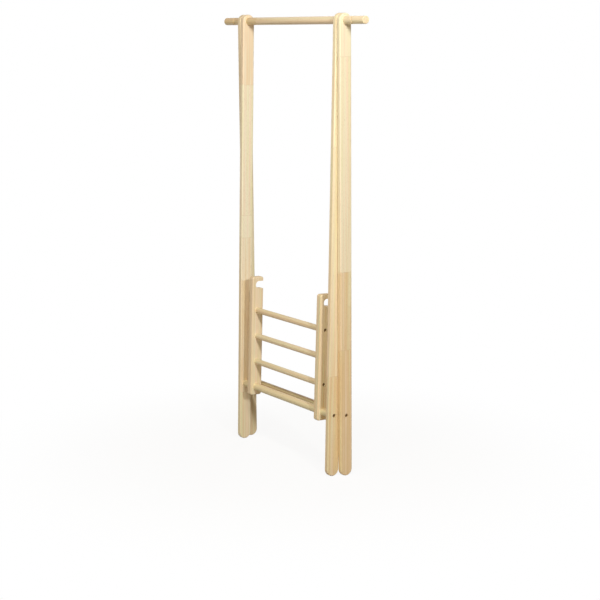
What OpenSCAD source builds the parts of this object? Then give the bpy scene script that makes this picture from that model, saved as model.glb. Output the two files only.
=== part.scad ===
// Folding wooden clothes rack: a hanging rod through four legs and a hook-on ladder shelf.
// Stored folded, the shelf upright between the legs. X runs along the rod, -Y is the front,
// +Z is up. The origin is on the floor, midway between the feet.

/* [Legs] */
// Length of a leg board over its round ends
leg_len = 1500; // [1200:1:1700]
// Width of a leg board, front to back
leg_w = 45; // [38:0.5:60]
// Thickness of a leg board, along the rod
leg_t = 18; // [16:0.5:24]
// Radius worked on the long edges of the boards
edge_r = 4; // [2:0.25:6]
// Clear width between the two front legs
front_clear = 524; // [440:1:800]
// Gap between a front leg and the rear leg beside it
pair_gap = 2; // [1:0.1:4]

/* [Hanging rod] */
// Diameter of the hanging rod
rod_d = 25; // [20:0.5:32]
// Length of the hanging rod
rod_len = 810; // [760:1:1200]
// Distance from the rod's end to the middle of its ring groove
groove_inset = 61; // [20:1:80]
// Width of the ring groove
groove_w = 5; // [3:0.5:10]
// Depth of the ring groove
groove_depth = 2.5; // [1:0.1:4]
// Chamfer at the rod's ends
rod_chamfer = 1.5; // [0.5:0.1:3]
// Outer diameter of the washer between the legs
washer_d = 38; // [34:0.5:40]

/* [Crossbars] */
// Diameter of the two crossbars
bar_d = 25; // [20:0.5:30]
// Distance from the rod's axis to a crossbar's axis, along the leg
bar_drop = 1272; // [1000:1:1350]

/* [Shelf] */
// Distance between the crossbar axes when the shelf is hooked on
open_span = 366; // [320:1:420]
// Width of a shelf rail
rail_w = 45; // [38:0.5:56]
// Thickness of a shelf rail
rail_t = 24; // [20:0.5:28]
// Free space between a rail and the leg beside it
rail_gap = 44.5; // [20:0.5:80]
// Length of rail below the crossbar's axis
rail_tail = 29.5; // [20:0.5:40]
// Height of the hook arm above its slot
hook_arm = 15; // [10:0.5:25]
// Radius of the rail's corners
rail_corner_r = 8; // [6:0.5:12]
// Lean of the stored shelf behind upright, in degrees
stow_lean = 1.5; // [0.8:0.1:2]
// Diameter of the three rungs
rung_d = 20; // [16:0.5:24]
// Depth of the rungs' sockets in the rails
socket_depth = 10; // [6:0.5:12]
// Radius at the mouth of the hook slot
mouth_r = 3; // [1:0.5:4]
// Distance from the rail's middle line to the hooked crossbar's axis
hook_drop = 3.3; // [2:0.1:5]

/* [Fasteners] */
// Diameter of the bolt's shank
bolt_d = 6; // [5:0.5:7]
// Diameter of the bolt's head
bolt_head_d = 10; // [9:0.25:12]
// Height of the bolt's head
bolt_head_h = 6; // [5:0.25:7]
// Size of the hexagon socket in the bolt's head, across flats
bolt_hex = 5; // [4:0.5:6]
// Depth of the counterbore for a bolt's head
bolt_recess = 9; // [8:0.25:11]
// Depth of the crossbar's pilot bore behind the insert
bolt_tip = 4; // [2:0.5:8]
// Outer diameter of the threaded insert in a crossbar's end
insert_d = 10; // [8:0.5:12]
// Length of the threaded insert
insert_len = 13; // [10:0.5:18]
// Diameter of a rung screw's shank
screw_d = 5; // [4:0.25:6]
// Diameter of a rung screw's head
screw_head_d = 9.5; // [8:0.25:11]
// Height of a rung screw's head
screw_head_h = 5; // [4:0.25:6]
// Length of a rung screw's shank
screw_len = 32; // [26:1:40]
// Depth of the counterbore for a rung screw's head
screw_recess = 8.5; // [7:0.25:9.5]
// Size of the hexagon socket in a rung screw's head, across flats
screw_hex = 4; // [3:0.5:5]
// Chamfer round the top of a bolt's or screw's head
head_chamfer = 0.6; // [0.3:0.1:1]

/* [Clearances] */
// Radial clearance of a turning fit
run_gap = 0.08; // [0.05:0.01:0.1]
// Radial clearance round a fixed piece
fix_gap = 0.05; // [0.02:0.01:0.1]
// Clearance between faces that pass each other
face_gap = 0.2; // [0.1:0.05:0.5]
// Gap between the rear crossbar and the boards in front of it
closed_gap = 0.7; // [0.5:0.05:1.2]
// Clearance of the crossbar in the hook slot, each side
slot_play = 0.7; // [0.6:0.05:1.2]
// Gap over the hooked crossbar
seat_gap = 0.3; // [0.2:0.05:0.6]
// Radial clearance round a recessed head
head_gap = 1.2; // [0.5:0.1:2]

/* [Hidden] */
$fn = 96;
// Length by which a cutter runs past the face it opens
past = 1;

// Middles of the leg boards and rails along X
front_leg_x = front_clear / 2 + leg_t / 2;
rear_leg_x = front_leg_x + leg_t + pair_gap;
rail_x = front_clear / 2 - rail_gap - rail_t / 2;

// Folded, the rear crossbar lies just behind the front legs and rails
bar_apart = max(leg_w, rail_w) / 2 + bar_d / 2 + closed_gap;
fold_half = asin(bar_apart / 2 / bar_drop);
foot_drop = leg_len - leg_w;
rod_z = foot_drop * cos(fold_half) + leg_w / 2;
front_bar_y = -bar_drop * sin(fold_half);
bar_z = rod_z - bar_drop * cos(fold_half);

// Hook slot: the crossbar comes in on an arc, so the slot sits a little nearer the pivot
slot_w = bar_d + 2 * slot_play;
slot_drift = open_span * (1 - cos(asin(rail_w / 2 / open_span)));
slot_z = open_span - slot_drift / 2;
slot_mid_y = hook_drop - bar_d / 2 - seat_gap + slot_w / 2;
rail_top = slot_z + slot_w / 2 + hook_arm;
rung_count = 3;
rung_pitch = open_span / (rung_count + 1);
rung_len = 2 * (rail_x - rail_t / 2 + socket_depth - fix_gap);

// Crossbars, between the inner faces of the legs that carry them
front_bar_len = front_clear - 2 * face_gap;
rear_bar_len = 2 * (rear_leg_x - leg_t / 2);
bolt_len = leg_t - bolt_recess + insert_len;

wood = [0.93, 0.84, 0.66];
wood_light = [0.95, 0.88, 0.72];
steel = [0.35, 0.33, 0.30];
nylon = [0.92, 0.91, 0.87];

// Cylinder along X, from x0 to x1
module bar_x(d, x0, x1) {
    translate([x0, 0, 0]) rotate([0, 90, 0]) cylinder(d = d, h = x1 - x0);
}

// Section of a board with worked edges, centred
module board_section(w, t) {
    square([w - 2 * edge_r, t], center = true);
    square([w, t - 2 * edge_r], center = true);
    for (sx = [-1, 1], sy = [-1, 1])
        translate([sx * (w / 2 - edge_r), sy * (t / 2 - edge_r)]) circle(r = edge_r);
}

// One edge of a board in section: flat from 0, with a round nose at r
module edge_section(r, t) {
    translate([0, -t / 2]) square([r - edge_r, t]);
    translate([0, edge_r - t / 2]) square([r, t - 2 * edge_r]);
    for (s = [-1, 1]) translate([r - edge_r, s * (t / 2 - edge_r)]) circle(r = edge_r);
}

// Sector of a board's corner with its worked edge, turned about X from the +Z side
module corner_sector(r, t, from, sweep) {
    rotate([from, 0, 0]) rotate([0, 90, 0]) rotate([0, 0, 180])
        rotate_extrude(angle = sweep) intersection() {
            edge_section(r, t);
            translate([0, -t]) square([r + past, 2 * t]);
        }
}

// Leg board with its rod end at the origin, hanging down -Z
module leg_board() {
    translate([0, 0, -foot_drop]) linear_extrude(foot_drop)
        rotate([0, 0, 90]) board_section(leg_w, leg_t);
    corner_sector(leg_w / 2, leg_t, -90, 180);
    translate([0, 0, -foot_drop]) corner_sector(leg_w / 2, leg_t, 90, 180);
}

// Leg with its rod bore and bolt hole, outside along side * X, still hanging at the origin
module drilled_leg(side) {
    difference() {
        leg_board();
        bar_x(rod_d + 2 * run_gap, -leg_t, leg_t);
        translate([0, 0, -bar_drop]) mirror([side < 0 ? 1 : 0, 0, 0]) {
            bar_x(bolt_d + 2 * run_gap, -leg_t, leg_t);
            bar_x(bolt_head_d + 2 * head_gap, leg_t / 2 - bolt_recess, leg_t);
        }
    }
}

// Places a front or rear leg's children at rod height, leaning by the folded angle
module front_place() translate([0, 0, rod_z]) rotate([-fold_half, 0, 0]) children();
module rear_place() translate([0, 0, rod_z]) rotate([fold_half, 0, 0]) children();
module shelf_place() translate([0, front_bar_y, bar_z]) rotate([-stow_lean, 0, 0]) children();
module at_side(side, x) translate([side * x, 0, 0]) mirror([side < 0 ? 1 : 0, 0, 0]) children();

module hanging_rod() {
    half = rod_len / 2;
    r = rod_d / 2;
    color(wood_light) translate([0, 0, rod_z]) difference() {
        rotate([0, 90, 0]) rotate_extrude() polygon([
            [0, -half], [r - rod_chamfer, -half], [r, -half + rod_chamfer],
            [r, half - rod_chamfer], [r - rod_chamfer, half], [0, half]
        ]);
        for (s = [-1, 1]) translate([s * (half - groove_inset) - groove_w / 2, 0, 0])
            rotate([0, 90, 0]) difference() {
                cylinder(d = rod_d + 2 * past, h = groove_w);
                translate([0, 0, -past])
                    cylinder(d = rod_d - 2 * groove_depth, h = groove_w + 2 * past);
            }
    }
}

module pivot_washer(side) {
    color(nylon) translate([side * (front_leg_x + leg_t / 2 + pair_gap / 2), 0, rod_z])
        difference() {
            bar_x(washer_d, -pair_gap / 2 + face_gap / 2, pair_gap / 2 - face_gap / 2);
            bar_x(rod_d + 2 * fix_gap, -pair_gap, pair_gap);
        }
}

module front_leg(side) {
    color(wood) front_place() translate([side * front_leg_x, 0, 0]) drilled_leg(side);
}

module rear_leg(side) {
    color(wood) rear_place() translate([side * rear_leg_x, 0, 0]) drilled_leg(side);
}

// Crossbar with a bore for the insert at each end, and a pilot bore behind it
module crossbar(len) {
    difference() {
        bar_x(bar_d, -len / 2, len / 2);
        for (side = [-1, 1]) at_side(side, len / 2) {
            bar_x(insert_d + 2 * fix_gap, -insert_len, past);
            bar_x(bolt_d + 2 * fix_gap, -insert_len - bolt_tip, past);
        }
    }
}

// Bolt or screw with a hexagon socket, its head's underside at the origin, pointing along -X
module socket_screw(shank_d, shank_len, head_d, head_h, hex) {
    r = head_d / 2;
    rotate([0, 90, 0]) difference() {
        rotate_extrude() polygon([
            [0, -shank_len], [shank_d / 2, -shank_len], [shank_d / 2, 0], [r, 0],
            [r, head_h - head_chamfer], [r - head_chamfer, head_h], [0, head_h]
        ]);
        translate([0, 0, head_h / 2]) cylinder(d = hex / cos(30), h = head_h, $fn = 6);
    }
}

module bolt() {
    socket_screw(bolt_d, bolt_len, bolt_head_d, bolt_head_h, bolt_hex);
}

module insert() {
    difference() {
        bar_x(insert_d, -insert_len, 0);
        bar_x(bolt_d + 2 * fix_gap, -insert_len - past, past);
    }
}

module front_crossbar() {
    color(wood_light) shelf_place() crossbar(front_bar_len);
}

module rear_crossbar() {
    color(wood_light) rear_place() translate([0, 0, -bar_drop]) crossbar(rear_bar_len);
}

module front_bolt(side) {
    color(steel) shelf_place()
        at_side(side, front_leg_x + leg_t / 2 - bolt_recess + face_gap) bolt();
}

module rear_bolt(side) {
    color(steel) rear_place() translate([0, 0, -bar_drop])
        at_side(side, rear_leg_x + leg_t / 2 - bolt_recess) bolt();
}

module front_insert(side) {
    color(steel) shelf_place() at_side(side, front_bar_len / 2) insert();
}

module rear_insert(side) {
    color(steel) rear_place() translate([0, 0, -bar_drop])
        at_side(side, rear_bar_len / 2) insert();
}

// Flat board with round corners and worked edges, upright from z0 to z1
module rail_board(z0, z1) {
    y = rail_w / 2 - rail_corner_r;
    low = z0 + rail_corner_r;
    high = z1 - rail_corner_r;
    translate([0, 0, low]) linear_extrude(high - low)
        rotate([0, 0, 90]) board_section(rail_w, rail_t);
    for (end = [[high, 0], [low, 180]]) translate([0, 0, end[0]]) rotate([end[1], 0, 0]) {
        rotate([90, 0, 0]) translate([0, 0, -y]) linear_extrude(2 * y)
            rotate([0, 0, 90]) edge_section(rail_corner_r, rail_t);
        translate([0, y, 0]) corner_sector(rail_corner_r, rail_t, -90, 90);
        translate([0, -y, 0]) corner_sector(rail_corner_r, rail_t, 0, 90);
    }
}

// Hook slot in the YZ plane: open to the back, round at its end, eased at its mouth
module slot_outline() {
    back = rail_w / 2;
    translate([slot_mid_y, 0]) circle(d = slot_w);
    translate([slot_mid_y, -slot_w / 2]) square([back - slot_mid_y + past, slot_w]);
    difference() {
        translate([back - mouth_r, -slot_w / 2 - mouth_r])
            square([mouth_r + past, slot_w + 2 * mouth_r]);
        for (s = [-1, 1]) translate([back - mouth_r, s * (slot_w / 2 + mouth_r)])
            circle(r = mouth_r);
    }
}

module shelf_rail(side) {
    color(wood) shelf_place() at_side(side, rail_x) difference() {
        rail_board(-rail_tail, rail_top);
        bar_x(bar_d + 2 * run_gap, -rail_t, rail_t);
        translate([-rail_t, 0, slot_z]) rotate([90, 0, 90]) linear_extrude(2 * rail_t)
            slot_outline();
        for (i = [1 : rung_count]) translate([0, 0, i * rung_pitch])
            bar_x(rung_d + 2 * fix_gap, -rail_t, socket_depth - rail_t / 2);
        for (i = [1, rung_count]) translate([0, 0, i * rung_pitch]) {
            bar_x(screw_d + 2 * fix_gap, -rail_t, rail_t);
            bar_x(screw_head_d + 2 * head_gap, rail_t / 2 - screw_recess, rail_t);
        }
    }
}

// Rung; the outer ones are drilled at both ends for their screws
module rung(i, drilled) {
    color(wood_light) shelf_place() translate([0, 0, i * rung_pitch]) difference() {
        bar_x(rung_d, -rung_len / 2, rung_len / 2);
        if (drilled) for (side = [-1, 1]) at_side(side, rung_len / 2)
            bar_x(screw_d + 2 * fix_gap, -screw_len, past);
    }
}

module rung_screw(i, side) {
    color(steel) shelf_place() translate([0, 0, i * rung_pitch])
        at_side(side, rail_x + rail_t / 2 - screw_recess)
            socket_screw(screw_d, screw_len, screw_head_d, screw_head_h, screw_hex);
}

hanging_rod();
pivot_washer(-1);  // pivot_washer_left
pivot_washer(1);  // pivot_washer_right
front_leg(-1);  // front_leg_left
front_leg(1);  // front_leg_right
rear_leg(-1);  // rear_leg_left
rear_leg(1);  // rear_leg_right
front_crossbar();
rear_crossbar();
front_bolt(-1);  // front_bolt_left
front_bolt(1);  // front_bolt_right
rear_bolt(-1);  // rear_bolt_left
rear_bolt(1);  // rear_bolt_right
front_insert(-1);  // front_insert_left
front_insert(1);  // front_insert_right
rear_insert(-1);  // rear_insert_left
rear_insert(1);  // rear_insert_right
shelf_rail(-1);  // shelf_rail_left
shelf_rail(1);  // shelf_rail_right
rung(3, true);  // rung_top
rung(2, false);  // rung_middle
rung(1, true);  // rung_bottom
rung_screw(3, -1);  // top_screw_left
rung_screw(3, 1);  // top_screw_right
rung_screw(1, -1);  // bottom_screw_left
rung_screw(1, 1);  // bottom_screw_right
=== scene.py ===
"""Looks of the folding clothes rack: satin-lacquered rubberwood, blackened bolts, a plain studio."""

import math

import bpy
import numpy as np
from mathutils import Matrix, Vector


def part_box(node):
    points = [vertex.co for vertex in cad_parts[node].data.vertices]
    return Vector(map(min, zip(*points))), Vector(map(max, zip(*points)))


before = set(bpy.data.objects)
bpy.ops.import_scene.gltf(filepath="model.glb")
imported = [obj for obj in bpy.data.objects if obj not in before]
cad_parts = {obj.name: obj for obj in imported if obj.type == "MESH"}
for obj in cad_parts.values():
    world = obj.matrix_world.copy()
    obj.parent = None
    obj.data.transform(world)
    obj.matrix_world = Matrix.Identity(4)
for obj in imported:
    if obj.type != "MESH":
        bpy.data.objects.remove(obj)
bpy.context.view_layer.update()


# Viewpoint. A long lens at eye height, right of the rack's front, looking down a little.
# It stands where the folded rack of the photograph was seen from.
camera_place = (3.9242, -2.6495, 1.4248)
camera_turn, camera_dip, camera_roll = np.radians((55.607, 10.514, 0.186))
camera_data = bpy.data.cameras.new("viewpoint")
camera_data.lens, camera_data.sensor_width = 85, 36
camera_data.clip_end = 60
camera = bpy.data.objects.new("viewpoint", camera_data)
camera.matrix_world = (
    Matrix.Translation(camera_place)
    @ Matrix.Rotation(camera_turn, 4, "Z")
    @ Matrix.Rotation(math.pi / 2 - camera_dip, 4, "X")
    @ Matrix.Rotation(camera_roll, 4, "Z")
)
bpy.context.scene.collection.objects.link(camera)
bpy.context.scene.camera = camera


# Legs. Four boards of pale rubberwood, planed to 45 x 18 mm, cut round at both ends and worked
# along the edges. Each is finger-jointed from shorter lengths, whose tone and grain differ a
# little, then sanded and given a clear satin lacquer.
pale_wood, cream_wood = (0.88, 0.80, 0.60, 1), (0.92, 0.86, 0.68, 1)
honey_wood = (0.76, 0.56, 0.30, 1)
rosy_wood, straw_wood = (0.90, 0.72, 0.52, 1), (0.82, 0.78, 0.50, 1)
pore_brown, glue_brown = (0.40, 0.25, 0.13, 1), (0.50, 0.34, 0.17, 1)
# Finger joints and growth rings, in metres
most_joints, no_joint, next_length = 5, 9.0, 7.31
finger_pitch, finger_length, glue_line = 0.0045, 0.011, 0.0006
pith_nearest, pith_spread, pith_sideways = 0.035, (0.10, 0.05), 0.16
run_out, growth_ring, late_sharpness = 0.05, 0.0065, 2.5
wander_waves, wander_reach = (14, 14, 2.2), 0.012
# Waves or cells in a metre: through the board, across it and along its grain
streak_waves, hue_waves = (150, 150, 1.7), (120, 120, 1.3)
patch_waves, fibre_waves = (18, 18, 7), (2100, 2100, 36)
pore_cells, pores_left_out, pore_limits = (950, 950, 70), 0.55, (0.30, 0.16)
end_grain_limits = (0.45, 0.95)
# How far each of these changes the colour, the roughness and the surface
late_tone, streak_tone, end_tone, fibre_tone = 0.16, 2.2, 0.25, 0.25
hue_swing, patch_swing, lean_strength = 5.5, 0.8, 0.75
pore_strength, glue_strength = 0.40, 0.6
lacquer_roughness, end_roughness, fibre_roughness, pore_roughness = 0.36, 0.12, 0.14, 0.20
fibre_relief, late_relief = 0.35, 0.15
bump_strength, bump_depth = 0.5, 0.0001
shine, lacquer_coat, lacquer_blur = 0.35, 0.15, 0.3


def add(tree, kind, values=None, **settings):
    """Adds a shader node. Each of values is a number, a colour or another node's socket."""
    made = tree.nodes.new("ShaderNode" + kind)
    for name, value in settings.items():
        setattr(made, name, value)
    for key, value in (values or {}).items():
        if isinstance(value, bpy.types.NodeSocket):
            tree.links.new(value, made.inputs[key])
        else:
            made.inputs[key].default_value = value
    return made


def calc(tree, operation, *terms, clamp=False):
    """The result of a Math node on numbers or sockets."""
    return add(tree, "Math", dict(enumerate(terms)), operation=operation, use_clamp=clamp).outputs[0]


def plus(tree, value, factor, base, clamp=False):
    """A value times a factor, plus a base."""
    return calc(tree, "MULTIPLY_ADD", value, factor, base, clamp=clamp)


def vector_calc(tree, operation, *terms):
    """The result of a Vector Math node on vectors or sockets."""
    return add(tree, "VectorMath", dict(enumerate(terms)), operation=operation).outputs[0]


def parts_of(tree, vector):
    """The three numbers of a vector."""
    return add(tree, "SeparateXYZ", {0: vector}).outputs


def noise(tree, place, scales, detail, roughness=0.5):
    """Noise from 0 to 1 at a place, with its own scale along each axis."""
    stretched = vector_calc(tree, "MULTIPLY", place, scales)
    values = {"Vector": stretched, "Scale": 1.0, "Detail": detail, "Roughness": roughness}
    return add(tree, "TexNoise", values).outputs[0]


def ramp(tree, value, low, high, at_low=0.0, at_high=1.0):
    """A smooth step from at_low to at_high while the value goes from low to high."""
    values = {"Value": value, 1: low, 2: high, 3: at_low, 4: at_high}
    return add(tree, "MapRange", values, interpolation_type="SMOOTHSTEP").outputs[0]


def blend(tree, share, first, second):
    """A mix of two colours, from the first at a share of 0 to the second at 1."""
    return add(tree, "Mix", {0: share, 6: first, 7: second}, data_type="RGBA").outputs[2]


def new_group(name, inputs, outputs):
    """An empty shader node group with named sockets, given as pairs of a name and a kind."""
    tree = bpy.data.node_groups.new(name, "ShaderNodeTree")
    for side, sockets in (("INPUT", inputs), ("OUTPUT", outputs)):
        for label, kind in sockets:
            tree.interface.new_socket(label, in_out=side, socket_type="NodeSocket" + kind)
    return tree, tree.nodes.new("NodeGroupInput").outputs, tree.nodes.new("NodeGroupOutput").inputs


def build_wood_group():
    """Wood as a solid, in metres: X through the thickness, Y across, Z along the grain.

    Growth rings are cylinders round a far pith, which lean and wander a little. Streaks, fibres
    and pores are noise drawn out along Z, and where a face cuts across the grain it is darker.
    Finger joints cross the wood as a zigzag through X. Past each one the look changes and the
    grain starts anew, as in the next length of timber. A look is a depth of colour, from Pale at
    0 to Deep at 1, then a leaning to rose (above 0) or to straw (below 0).
    """
    board_sockets = [("Place", "Vector"), ("Grain", "Vector"), ("Seed", "Float")]
    tint_sockets = [("Pale", "Color"), ("Deep", "Color")]
    joint_sockets = [(f"Joint {k + 1}", "Float") for k in range(most_joints)]
    look_sockets = [(f"Look {k}", "Vector") for k in range(most_joints + 1)]
    tree, given, result = new_group(
        "jointed_wood",
        board_sockets + tint_sockets + joint_sockets + look_sockets,
        [("Color", "Color"), ("Roughness", "Float"), ("Height", "Float")],
    )
    spot = parts_of(tree, given["Place"])
    zigzag = calc(tree, "PINGPONG", spot["X"], finger_pitch / 2)
    along = plus(tree, zigzag, finger_length / (finger_pitch / 2), spot["Z"])
    look, length_seed, glue = given["Look 0"], given["Seed"], 0.0
    for k in range(1, most_joints + 1):
        past = calc(tree, "SUBTRACT", along, given[f"Joint {k}"])
        beyond = calc(tree, "GREATER_THAN", past, 0.0)
        change = vector_calc(tree, "SUBTRACT", given[f"Look {k}"], given[f"Look {k - 1}"])
        look = vector_calc(tree, "MULTIPLY_ADD", change, beyond, look)
        length_seed = plus(tree, beyond, next_length, length_seed)
        glue = calc(tree, "MAXIMUM", glue, ramp(tree, calc(tree, "ABSOLUTE", past), glue_line, 0.0))
    look = parts_of(tree, look)

    # Three chance numbers for each length of timber, which also move it to its own place in the
    # noise
    chance = add(tree, "TexWhiteNoise", {"W": length_seed}, noise_dimensions="1D").outputs["Color"]
    draw = parts_of(tree, chance)
    own_place = vector_calc(tree, "MULTIPLY_ADD", chance, (3, 3, 3), given["Place"])

    # Growth rings: distance from a pith 35 to 185 mm away, over the ring's width. The late wood
    # of each ring is its darker outer part.
    pith_x = plus(tree, draw["Z"], pith_spread[1], pith_nearest)
    pith_x = plus(tree, draw["X"], pith_spread[0], pith_x)
    pith_y = plus(tree, draw["Y"], pith_sideways, -pith_sideways / 2)
    slope = calc(tree, "MULTIPLY", spot["Z"], plus(tree, draw["Z"], run_out, -run_out / 2))
    from_x = calc(tree, "ADD", calc(tree, "ADD", spot["X"], pith_x), slope)
    from_y = calc(tree, "ADD", spot["Y"], pith_y)
    square = plus(tree, from_x, from_x, calc(tree, "MULTIPLY", from_y, from_y))
    wander = noise(tree, own_place, wander_waves, 2.0)
    grown = plus(tree, wander, wander_reach, calc(tree, "SQRT", square))
    ring = calc(tree, "FRACT", calc(tree, "DIVIDE", grown, growth_ring))
    late = calc(tree, "POWER", ring, late_sharpness)

    # Streaks a few millimetres wide, in tone and in hue, fibres, and pores in about half of the
    # cells
    streak = noise(tree, own_place, streak_waves, 3.0, 0.6)
    hue_place = vector_calc(tree, "ADD", own_place, (1.7, 0.4, 2.9))
    hue_streak = noise(tree, hue_place, hue_waves, 2.0)
    patch = noise(tree, own_place, patch_waves, 1.0)
    fibre = noise(tree, own_place, fibre_waves, 2.0)
    cell_place = vector_calc(tree, "MULTIPLY", own_place, pore_cells)
    cells = add(tree, "TexVoronoi", {"Vector": cell_place, "Scale": 1.0}, feature="F1").outputs
    kept = calc(tree, "GREATER_THAN", parts_of(tree, cells["Color"])["X"], pores_left_out)
    pore = calc(tree, "MULTIPLY", ramp(tree, cells["Distance"], *pore_limits), kept)

    # End grain: where the face's normal lies along the grain
    normal = add(tree, "TexCoord").outputs["Normal"]
    lined_up = add(tree, "VectorMath", {0: normal, 1: given["Grain"]}, operation="DOT_PRODUCT")
    steepness = calc(tree, "ABSOLUTE", lined_up.outputs["Value"])
    end_grain = ramp(tree, steepness, *end_grain_limits)

    depth = plus(tree, late, late_tone, look["X"])
    depth = plus(tree, calc(tree, "SUBTRACT", streak, 0.5), streak_tone, depth)
    depth = plus(tree, end_grain, end_tone, depth)
    depth = plus(tree, calc(tree, "SUBTRACT", fibre, 0.5), fibre_tone, depth, clamp=True)
    lean = plus(tree, calc(tree, "SUBTRACT", hue_streak, 0.5), hue_swing, look["Y"])
    lean = plus(tree, calc(tree, "SUBTRACT", patch, 0.5), patch_swing, lean)
    flesh = blend(tree, depth, given["Pale"], given["Deep"])
    flesh = blend(tree, calc(tree, "MULTIPLY", lean, lean_strength, clamp=True), flesh, rosy_wood)
    flesh = blend(tree, calc(tree, "MULTIPLY", lean, -lean_strength, clamp=True), flesh, straw_wood)
    flesh = blend(tree, calc(tree, "MULTIPLY", pore, pore_strength), flesh, pore_brown)
    flesh = blend(tree, calc(tree, "MULTIPLY", glue, glue_strength), flesh, glue_brown)
    tree.links.new(flesh, result["Color"])

    rough = plus(tree, end_grain, end_roughness, lacquer_roughness)
    rough = plus(tree, fibre, fibre_roughness, rough)
    tree.links.new(plus(tree, pore, pore_roughness, rough), result["Roughness"])
    relief = plus(tree, fibre, fibre_relief, calc(tree, "MULTIPLY", late, late_relief))
    sunk = calc(tree, "MAXIMUM", pore, glue)
    tree.links.new(calc(tree, "SUBTRACT", relief, sunk), result["Height"])
    return tree


wood_group = build_wood_group()


def middle(node):
    """The centre of a CAD node's box."""
    low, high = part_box(node)
    return (low + high) / 2


def coat_with(node, material):
    """Gives a CAD node one material in place of its plain one."""
    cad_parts[node].data.materials.clear()
    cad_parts[node].data.materials.append(material)


def place_group(tree, group, place, values):
    """Puts a node group into a material, with its Place linked and its other inputs set."""
    made = tree.nodes.new("ShaderNodeGroup")
    made.node_tree = group
    tree.links.new(place, made.inputs["Place"])
    for name, value in values.items():
        made.inputs[name].default_value = value
    return made


def finish_from(tree, source, shader, strength, deepest):
    """Feeds a group's colour, roughness and height, as a bump of a depth, to a material's shader."""
    bump = {"Height": source.outputs["Height"], "Strength": strength, "Distance": deepest}
    tree.links.new(source.outputs["Color"], shader.inputs["Base Color"])
    tree.links.new(source.outputs["Roughness"], shader.inputs["Roughness"])
    tree.links.new(add(tree, "Bump", bump).outputs[0], shader.inputs["Normal"])


def wood_finish(node, start, end, seed, looks, joints=(), pale=pale_wood, deep=honey_wood):
    """Lacquers a wooden node with a material of its own.

    The grain runs from start to end. Joints are distances from start, in metres, and there is one
    look more than there are joints.
    """
    looks = list(looks) + [looks[-1]] * (most_joints + 1 - len(looks))
    joints = list(joints) + [no_joint] * (most_joints - len(joints))
    way = (end - start).normalized()
    turn = way.rotation_difference(Vector((0, 0, 1)))
    material = bpy.data.materials.new(node + "_wood")
    material.use_nodes = True
    tree = material.node_tree
    shader = tree.nodes["Principled BSDF"]
    where = add(tree, "TexCoord").outputs["Object"]
    shift = {"Vector": where, "Location": -(turn @ start), "Rotation": turn.to_euler()}
    place = add(tree, "Mapping", shift).outputs[0]
    values = {"Grain": way, "Seed": seed, "Pale": pale, "Deep": deep}
    values |= {f"Joint {k + 1}": joint for k, joint in enumerate(joints)}
    values |= {f"Look {k}": (*look, 0) for k, look in enumerate(looks)}
    grain = place_group(tree, wood_group, place, values)
    finish_from(tree, grain, shader, bump_strength, bump_depth)
    shader.inputs["Specular IOR Level"].default_value = shine
    shader.inputs["Coat Weight"].default_value = lacquer_coat
    shader.inputs["Coat Roughness"].default_value = lacquer_blur
    coat_with(node, material)


# Each leg's seed, the looks of its lengths from the rod down, its joints' distances below the rod
# and its pale tone. The grain runs from the rod to the leg's crossbar.
pivot = middle("hanging_rod")
leg_looks = {
    "front_leg_left": (
        # The fifth length, 0.905 to 1.31 m below the rod, is deeper where the left rail's shadow
        # falls on this leg: partly painted shadow.
        11.0, ((0.38, 0.45), (-0.1, -0.1), (-0.3, -0.1), (0.1, 0.0), (0.5, 0.1), (0.35, 0.1)),
        (0.221, 0.674, 0.753, 0.905, 1.31), cream_wood,
    ),
    "front_leg_right": (23.0, ((0.18, 0.05), (0.36, -0.15), (0.7, 0.1)), (0.40, 1.145), pale_wood),
    "rear_leg_left": (37.0, ((0.15, 0.1), (0.15, -0.1), (0.5, 0.0)), (0.34, 0.98), pale_wood),
    "rear_leg_right": (
        # Its two lowest lengths are deeper partly as the wood's own tone and partly as painted shade
        # for the weaker light near the foot.
        41.0, ((-0.1, -0.1), (0.05, 0.0), (0.75, 0.1), (1.05, -0.1)), (0.120, 0.803, 1.06), pale_wood,
    ),
}
for leg, (seed, looks, joints, pale) in leg_looks.items():
    bar = middle(leg.split("_")[0] + "_crossbar")
    bar.x = 0
    wood_finish(leg, pivot, bar, seed, looks, joints, pale)


# Hanging rod. A 25 mm dowel of the same wood through all four legs, with a turned groove near
# each end that keeps hangers from slipping off.
along_x = Vector((1, 0, 0))
rod_half = 0.405
rod_start = pivot - along_x * rod_half
# The first length, the left stub to just inside the left legs, is set deepest: painted shade for the
# left legs' shadow on it.
rod_looks, rod_joints = ((1.3, 0.3), (0.3, 0.1), (0.2, 0.0)), (0.21, 0.66)
wood_finish("hanging_rod", rod_start, pivot + along_x, 53.0, rod_looks, rod_joints)


# Pivot washers. Thin discs of natural nylon on the rod, one between each pair of legs, so that
# the boards turn past each other without rubbing.
milk_white, milk_shade = (0.87, 0.86, 0.81, 1), (0.80, 0.78, 0.70, 1)
specks, fine_share, mottle_limits = 2600, 0.35, (0.45, 0.85)
second_roughness, slow_relief = 0.16, 0.5
skin_bump_strength, skin_bump_depth = 0.4, 0.00005


def build_mottle_group():
    """A worked or coated skin: a slow mottle between two colours, with fine specks and pits.

    The share of the second colour rises smoothly with a sum of slow noise and some of the fine
    noise. Where it is high the skin is rougher too.
    """
    tree, given, result = new_group(
        "mottled_skin",
        [("Place", "Vector"), ("First", "Color"), ("Second", "Color")]
        + [("Patches", "Float"), ("Smoothest", "Float")],
        [("Color", "Color"), ("Roughness", "Float"), ("Height", "Float")],
    )
    patches = {"Vector": given["Place"], "Scale": given["Patches"], "Detail": 3.0}
    slow = add(tree, "TexNoise", patches).outputs[0]
    fine = noise(tree, given["Place"], (specks, specks, specks), 2.0)
    share = ramp(tree, plus(tree, fine, fine_share, slow), *mottle_limits)
    tree.links.new(blend(tree, share, given["First"], given["Second"]), result["Color"])
    tree.links.new(plus(tree, share, second_roughness, given["Smoothest"]), result["Roughness"])
    tree.links.new(plus(tree, slow, slow_relief, fine), result["Height"])
    return tree


mottle_group = build_mottle_group()


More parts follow.
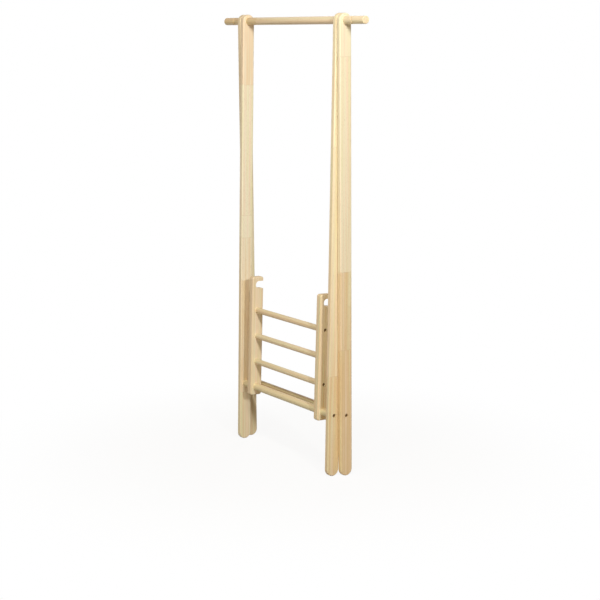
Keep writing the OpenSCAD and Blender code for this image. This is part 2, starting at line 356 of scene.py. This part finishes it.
def skin_finish(name, nodes, first, second, patches, smoothest, metallic):
    """Coats nodes with one mottled skin: its two colours, its mottles per metre and its roughness."""
    material = bpy.data.materials.new(name)
    material.use_nodes = True
    tree = material.node_tree
    shader = tree.nodes["Principled BSDF"]
    where = add(tree, "TexCoord").outputs["Object"]
    values = {"First": first, "Second": second, "Patches": patches, "Smoothest": smoothest}
    skin = place_group(tree, mottle_group, where, values)
    finish_from(tree, skin, shader, skin_bump_strength, skin_bump_depth)
    shader.inputs["Metallic"].default_value = metallic
    for node in nodes:
        coat_with(node, material)
    return shader


washers = [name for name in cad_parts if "washer" in name]
nylon = skin_finish("natural_nylon", washers, milk_white, milk_shade, 260, smoothest=0.38, metallic=0)
nylon.inputs["Subsurface Weight"].default_value = 0.15
nylon.inputs["Subsurface Radius"].default_value = (0.002, 0.002, 0.0015)


# Crossbars. Two 25 mm dowels near the feet, the front one of yellower wood between the front
# legs, the rear one between the rear legs, painted browner as painted shade for the shadow it
# lies in behind the front one. Each end has a zinc-plated threaded insert for its bolt.
yellow_pale = (0.90, 0.80, 0.53, 1)
# The rear crossbar's two tones are painted shade: the same pale wood, darkened for its shadow.
painted_shade_pale, painted_shade_deep = (0.61, 0.46, 0.27, 1), (0.50, 0.345, 0.175, 1)
grain_lead = 0.3


def dowel_finish(node, seed, look, **tints):
    """Lacquers a dowel in one length along X, with its grain's start to the left of its middle."""
    centre = middle(node)
    wood_finish(node, centre - along_x * grain_lead, centre + along_x, seed, (look,), **tints)


dowel_finish("front_crossbar", 61.0, (0.35, -0.3), pale=yellow_pale)
# The rear one's browner tones are painted shade.
dowel_finish("rear_crossbar", 67.0, (0.5, 0.0), pale=painted_shade_pale, deep=painted_shade_deep)
zinc_light, zinc_grey = (0.66, 0.67, 0.66, 1), (0.50, 0.51, 0.52, 1)
inserts = [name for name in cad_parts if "insert" in name]
skin_finish("zinc_plate", inserts, zinc_light, zinc_grey, 420, smoothest=0.30, metallic=1)


# Bolts and screws. Steel socket heads with a brown-black oxide, sunk in counterbores on the
# outer faces of the legs and rails, and turned tight with a hexagon key.
oxide_black, oxide_brown = (0.20, 0.13, 0.065, 1), (0.30, 0.20, 0.10, 1)
fasteners = [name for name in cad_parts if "bolt" in name or "screw" in name]
skin_finish("oxide_steel", fasteners, oxide_black, oxide_brown, 300, smoothest=0.38, metallic=1)


# Shelf. A ladder of two planed rails, the left one a little paler, and three 20 mm dowel rungs
# screwed through them. The rails turn on the front crossbar, and the hooks near their tops drop
# over the rear one.
rail_foot, rail_head = middle("rung_bottom"), middle("rung_top")
rail_looks = {
    "shelf_rail_left": (71.0, (0.40, 0.2), cream_wood),
    "shelf_rail_right": (79.0, (0.45, 0.1), pale_wood),
}
for rail, (seed, look, pale) in rail_looks.items():
    wood_finish(rail, rail_foot, rail_head, seed, (look,), pale=pale)
for rung, seed in (("rung_top", 83.0), ("rung_middle", 89.0), ("rung_bottom", 97.0)):
    dowel_finish(rung, seed, (0.45, 0.0))


# Studio. A white paper floor that fades to white and a plain white room, dimmed for the light
# it throws. The key lamp stands on the right, a small one hangs above it, a wide one fills in
# from the front, and one behind, without glints, keeps the far sides from going dark.
floor_reach = 12.0
shadow_share, shadow_from, shadow_to = 0.09, 0.3, 1.2
room_light, room_tint = 0.21, (1, 0.74, 0.40, 1)
plain_white = (1, 1, 1, 1)
paper_white, paper_bounce = (0.92, 0.92, 0.92, 1), (0.26, 0.22, 0.18, 1)
across_floor, up_floor = np.meshgrid((-floor_reach, floor_reach), (-floor_reach, floor_reach))
floor_points = np.stack([across_floor.ravel(), up_floor.ravel(), np.zeros(4)], axis=1)
floor_mesh = bpy.data.meshes.new("floor")
floor_mesh.from_pydata(floor_points.tolist(), [], [(0, 1, 3, 2)])
floor = bpy.data.objects.new("floor", floor_mesh)
bpy.context.scene.collection.objects.link(floor)


def seen_rays(tree):
    """One where a ray comes straight from the camera, a mirror or glass, and zero elsewhere."""
    rays = add(tree, "LightPath").outputs
    plain = calc(tree, "MAXIMUM", rays["Is Camera Ray"], rays["Is Glossy Ray"])
    return calc(tree, "MAXIMUM", plain, rays["Is Transmission Ray"])


paper = bpy.data.materials.new("white_paper")
paper.use_nodes = True
tree = paper.node_tree
paper_shader = tree.nodes["Principled BSDF"]
paper_shader.inputs["Roughness"].default_value = 0.9
seen = seen_rays(tree)
tree.links.new(blend(tree, seen, paper_bounce, paper_white), paper_shader.inputs["Base Color"])
floor_place = add(tree, "TexCoord").outputs["Object"]
away = add(tree, "VectorMath", {0: floor_place}, operation="LENGTH").outputs["Value"]
paper_share = ramp(tree, away, shadow_from, shadow_to, shadow_share, 0.0)
white_share = calc(tree, "MULTIPLY", calc(tree, "SUBTRACT", 1.0, paper_share), seen)
glow = add(tree, "Emission", {"Color": plain_white, "Strength": 1.0}).outputs[0]
mix = add(tree, "MixShader", {0: white_share, 1: paper_shader.outputs[0], 2: glow})
tree.links.new(mix.outputs[0], tree.nodes["Material Output"].inputs["Surface"])
floor_mesh.materials.append(paper)

world = bpy.data.worlds.new("studio")
bpy.context.scene.world = world
world.use_nodes = True
tree = world.node_tree
seen = seen_rays(tree)
room = tree.nodes["Background"]
tree.links.new(plus(tree, seen, 1.0 - room_light, room_light), room.inputs["Strength"])
tree.links.new(blend(tree, seen, room_tint, plain_white), room.inputs["Color"])


def soft_lamp(name, place, size, watts, tint):
    """A rectangular lamp of a width and height, turned to the rack and hidden from the camera."""
    data = bpy.data.lights.new(name, "AREA")
    data.shape = "RECTANGLE"
    data.size, data.size_y = size
    data.energy, data.color = watts, tint
    lamp = bpy.data.objects.new(name, data)
    lamp.location = place
    lamp.rotation_euler = (Vector(place) - rack_middle).to_track_quat("Z", "Y").to_euler()
    lamp.visible_camera = False
    bpy.context.scene.collection.objects.link(lamp)
    return lamp


rack_middle = Vector((0, 0, 0.8))
soft_lamp("key", (3.6, -0.85, 2.15), (0.25, 0.35), 62, (1, 1, 1))
soft_lamp("high", (1.35, -0.92, 2.6), (0.4, 0.4), 21, (1, 0.95, 0.86))
soft_lamp("front", (1.5, -2.9, 1.4), (1.0, 0.8), 30, (1, 0.93, 0.81))
back = soft_lamp("back", (-2.6, 2.6, 0.8), (1.0, 0.8), 38, (1, 0.97, 0.92))
back.visible_glossy = False

bpy.context.scene.view_settings.view_transform = "Standard"
